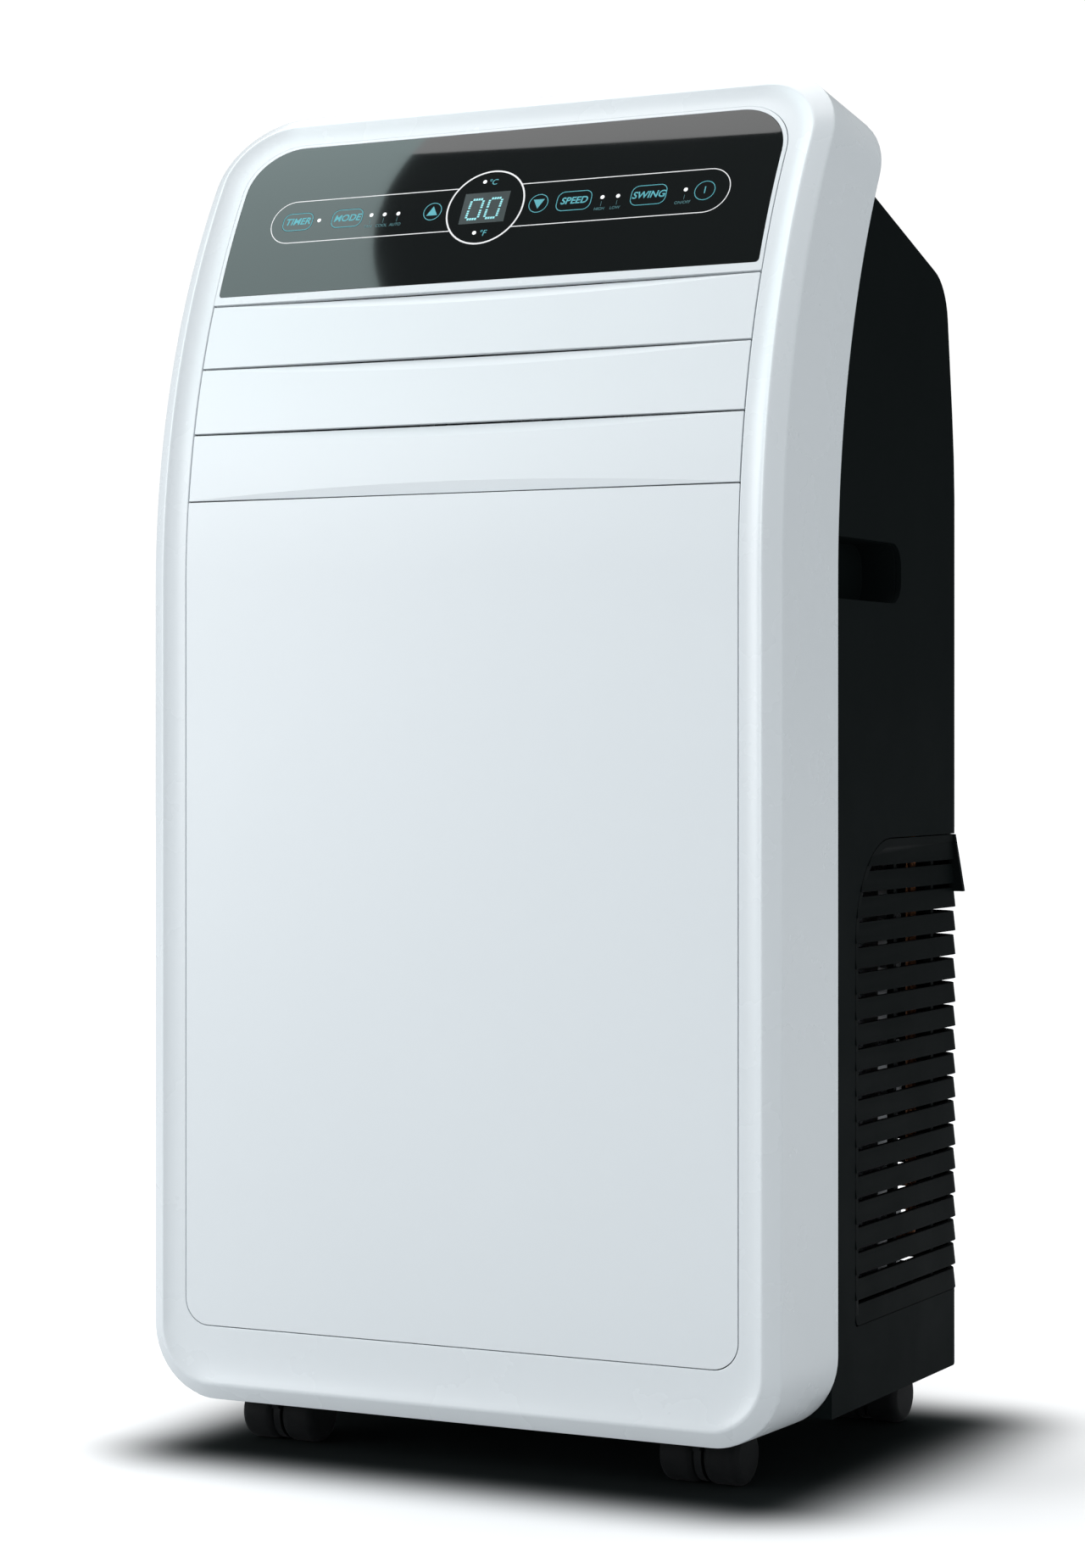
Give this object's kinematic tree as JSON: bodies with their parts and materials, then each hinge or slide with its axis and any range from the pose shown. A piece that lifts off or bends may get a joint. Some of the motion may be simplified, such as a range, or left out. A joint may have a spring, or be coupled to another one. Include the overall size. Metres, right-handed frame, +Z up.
{
  "type": "portable air conditioner",
  "caption": "Free-standing portable air conditioner with curved front, tilting outlet louvers, touch display, wrap-round intake grille, hand recesses and casters.",
  "frame": {"origin": "on the floor under the middle of the machine's outer box", "axes": "+X to the right seen from the front, +Y to the rear, +Z up"},
  "size_m": [0.384, 0.3, 0.7458],
  "materials": {
    "white_abs": "satin moulded",
    "black_abs": "fine textured",
    "lens_black": "polished",
    "key_black": "polished",
    "grey_pp": "moulded",
    "caster_black": "moulded nylon",
    "board_green": "solder mask",
    "steel_black": "painted",
    "coil_aluminium": "finned",
    "pipe_copper": "drawn copper",
    "rubber_black": "moulded",
    "filter_mesh": "woven mesh",
    "galvanised": "galvanised",
    "screw_steel": "black zinc"
  },
  "bodies": {
    "cabinet": {"front_bezel": "white_abs", "front_panel": "white_abs", "display_surround": "white_abs", "display_lens": "lens_black", "control_board": "board_green", "swing_motor": "galvanised", "outlet_duct": "grey_pp", "rear_casing": "black_abs", "handle_cup_left": "black_abs", "handle_cup_right": "black_abs", "exhaust_collar": "black_abs", "cord_gland": "rubber_black", "casing_screws": "screw_steel", "base_pan": "grey_pp", "compressor_mounts": "rubber_black", "compressor": "steel_black", "condenser_coil": "coil_aluminium", "evaporator_coil": "coil_aluminium", "drip_tray": "grey_pp", "discharge_pipe": "pipe_copper", "suction_pipe": "pipe_copper", "liquid_line": "pipe_copper", "cond_fan_housing": "grey_pp", "cond_fan_motor": "galvanised", "evap_fan_housing": "grey_pp", "evap_fan_motor": "galvanised", "control_box": "galvanised", "run_capacitor": "galvanised"},
    "louver_bottom": {"louver_blade_bottom": "white_abs"},
    "louver_middle": {"louver_blade_middle": "white_abs"},
    "louver_top": {"louver_blade_top": "white_abs"},
    "louver_link": {"louver_link": "grey_pp"},
    "key_timer": {"key_timer": "key_black"},
    "key_mode": {"key_mode": "key_black"},
    "key_up": {"key_up": "key_black"},
    "key_down": {"key_down": "key_black"},
    "key_speed": {"key_speed": "key_black"},
    "key_swing": {"key_swing": "key_black"},
    "key_power": {"key_power": "key_black"},
    "cond_fan_wheel": {"cond_fan_wheel": "black_abs"},
    "evap_fan_wheel": {"evap_fan_wheel": "black_abs"},
    "rear_cover": {"rear_grille": "black_abs", "condenser_filter": "filter_mesh"},
    "upper_cover": {"upper_intake_grille": "black_abs", "evaporator_filter": "filter_mesh"},
    "drain_cap_lower": {"drain_cap_lower": "rubber_black"},
    "drain_cap_upper": {"drain_cap_upper": "rubber_black"},
    "caster_front_left": {"caster_front_left_housing": "caster_black"},
    "caster_front_left_wheel_left": {"caster_front_left_wheel_left": "caster_black"},
    "caster_front_left_wheel_right": {"caster_front_left_wheel_right": "caster_black"},
    "caster_front_right": {"caster_front_right_housing": "caster_black"},
    "caster_front_right_wheel_left": {"caster_front_right_wheel_left": "caster_black"},
    "caster_front_right_wheel_right": {"caster_front_right_wheel_right": "caster_black"},
    "caster_rear_left": {"caster_rear_left_housing": "caster_black"},
    "caster_rear_left_wheel_left": {"caster_rear_left_wheel_left": "caster_black"},
    "caster_rear_left_wheel_right": {"caster_rear_left_wheel_right": "caster_black"},
    "caster_rear_right": {"caster_rear_right_housing": "caster_black"},
    "caster_rear_right_wheel_left": {"caster_rear_right_wheel_left": "caster_black"},
    "caster_rear_right_wheel_right": {"caster_rear_right_wheel_right": "caster_black"}
  },
  "joints": [
    {"name": "louver_middle_tilt", "type": "hinge", "parent": "cabinet", "child": "louver_middle", "pos_m": [0, -0.13004, 0.57663], "axis": [1, 0, 0], "range_deg": [0, 65]},
    {"name": "louver_bottom_tilt", "type": "hinge", "parent": "cabinet", "child": "louver_bottom", "pos_m": [0, -0.13693, 0.53977], "axis": [1, 0, 0], "range_deg": [0, 65]},
    {"name": "louver_top_tilt", "type": "hinge", "parent": "cabinet", "child": "louver_top", "pos_m": [0, -0.12015, 0.6128], "axis": [1, 0, 0], "range_deg": [0, 65]},
    {"name": "louver_link_pivot", "type": "hinge", "parent": "louver_middle", "child": "louver_link", "pos_m": [-0.1768, -0.1203, 0.57439], "axis": [1, 0, 0], "range_deg": [-65, 0]},
    {"name": "key_timer_press", "type": "slide", "parent": "cabinet", "child": "key_timer", "axis": [0, 0.8928, -0.4505], "range_m": [0, 0.0006], "stiffness_N_per_m": 300, "springref_m": -0.0003},
    {"name": "key_mode_press", "type": "slide", "parent": "cabinet", "child": "key_mode", "axis": [0, 0.8928, -0.4505], "range_m": [0, 0.0006], "stiffness_N_per_m": 300, "springref_m": -0.0003},
    {"name": "key_up_press", "type": "slide", "parent": "cabinet", "child": "key_up", "axis": [0, 0.8928, -0.4505], "range_m": [0, 0.0006], "stiffness_N_per_m": 300, "springref_m": -0.0003},
    {"name": "key_down_press", "type": "slide", "parent": "cabinet", "child": "key_down", "axis": [0, 0.8928, -0.4505], "range_m": [0, 0.0006], "stiffness_N_per_m": 300, "springref_m": -0.0003},
    {"name": "key_speed_press", "type": "slide", "parent": "cabinet", "child": "key_speed", "axis": [0, 0.8928, -0.4505], "range_m": [0, 0.0006], "stiffness_N_per_m": 300, "springref_m": -0.0003},
    {"name": "key_swing_press", "type": "slide", "parent": "cabinet", "child": "key_swing", "axis": [0, 0.8928, -0.4505], "range_m": [0, 0.0006], "stiffness_N_per_m": 300, "springref_m": -0.0003},
    {"name": "key_power_press", "type": "slide", "parent": "cabinet", "child": "key_power", "axis": [0, 0.8928, -0.4505], "range_m": [0, 0.0006], "stiffness_N_per_m": 300, "springref_m": -0.0003},
    {"name": "cond_fan_spin", "type": "hinge", "parent": "cabinet", "child": "cond_fan_wheel", "pos_m": [-0.025, 0.05, 0.19], "axis": [0, 1, 0], "continuous": true},
    {"name": "evap_fan_spin", "type": "hinge", "parent": "cabinet", "child": "evap_fan_wheel", "pos_m": [0, 0.005, 0.562], "axis": [1, 0, 0], "continuous": true},
    {"name": "rear_cover_pull", "type": "slide", "parent": "cabinet", "child": "rear_cover", "axis": [0, 1, 0], "range_m": [0, 0.03]},
    {"name": "upper_cover_pull", "type": "slide", "parent": "cabinet", "child": "upper_cover", "axis": [0, 0.9903, 0.1389], "range_m": [0, 0.03]},
    {"name": "drain_cap_lower_pull", "type": "slide", "parent": "cabinet", "child": "drain_cap_lower", "axis": [0, 1, 0], "range_m": [0, 0.015]},
    {"name": "drain_cap_upper_pull", "type": "slide", "parent": "cabinet", "child": "drain_cap_upper", "axis": [0, 1, 0], "range_m": [0, 0.015]},
    {"name": "caster_front_left_swivel", "type": "hinge", "parent": "cabinet", "child": "caster_front_left", "pos_m": [-0.13, -0.109, 0.02], "axis": [0, 0, 1], "continuous": true},
    {"name": "caster_front_left_wheel_left_roll", "type": "hinge", "parent": "caster_front_left", "child": "caster_front_left_wheel_left", "pos_m": [-0.13, -0.101, 0.0155], "axis": [1, 0, 0], "continuous": true},
    {"name": "caster_front_left_wheel_right_roll", "type": "hinge", "parent": "caster_front_left", "child": "caster_front_left_wheel_right", "pos_m": [-0.13, -0.101, 0.0155], "axis": [1, 0, 0], "continuous": true},
    {"name": "caster_front_right_swivel", "type": "hinge", "parent": "cabinet", "child": "caster_front_right", "pos_m": [0.13, -0.109, 0.02], "axis": [0, 0, 1], "continuous": true},
    {"name": "caster_front_right_wheel_left_roll", "type": "hinge", "parent": "caster_front_right", "child": "caster_front_right_wheel_left", "pos_m": [0.13, -0.101, 0.0155], "axis": [1, 0, 0], "continuous": true},
    {"name": "caster_front_right_wheel_right_roll", "type": "hinge", "parent": "caster_front_right", "child": "caster_front_right_wheel_right", "pos_m": [0.13, -0.101, 0.0155], "axis": [1, 0, 0], "continuous": true},
    {"name": "caster_rear_left_swivel", "type": "hinge", "parent": "cabinet", "child": "caster_rear_left", "pos_m": [-0.13, 0.1, 0.02], "axis": [0, 0, 1], "continuous": true},
    {"name": "caster_rear_left_wheel_left_roll", "type": "hinge", "parent": "caster_rear_left", "child": "caster_rear_left_wheel_left", "pos_m": [-0.13, 0.108, 0.0155], "axis": [1, 0, 0], "continuous": true},
    {"name": "caster_rear_left_wheel_right_roll", "type": "hinge", "parent": "caster_rear_left", "child": "caster_rear_left_wheel_right", "pos_m": [-0.13, 0.108, 0.0155], "axis": [1, 0, 0], "continuous": true},
    {"name": "caster_rear_right_swivel", "type": "hinge", "parent": "cabinet", "child": "caster_rear_right", "pos_m": [0.13, 0.1, 0.02], "axis": [0, 0, 1], "continuous": true},
    {"name": "caster_rear_right_wheel_left_roll", "type": "hinge", "parent": "caster_rear_right", "child": "caster_rear_right_wheel_left", "pos_m": [0.13, 0.108, 0.0155], "axis": [1, 0, 0], "continuous": true},
    {"name": "caster_rear_right_wheel_right_roll", "type": "hinge", "parent": "caster_rear_right", "child": "caster_rear_right_wheel_right", "pos_m": [0.13, 0.108, 0.0155], "axis": [1, 0, 0], "continuous": true}
  ],
  "couplings": [
    {"joint": "louver_bottom_tilt", "follows": "louver_middle_tilt", "ratio": 1},
    {"joint": "louver_top_tilt", "follows": "louver_middle_tilt", "ratio": 1},
    {"joint": "louver_link_pivot", "follows": "louver_middle_tilt", "ratio": -1}
  ]
}
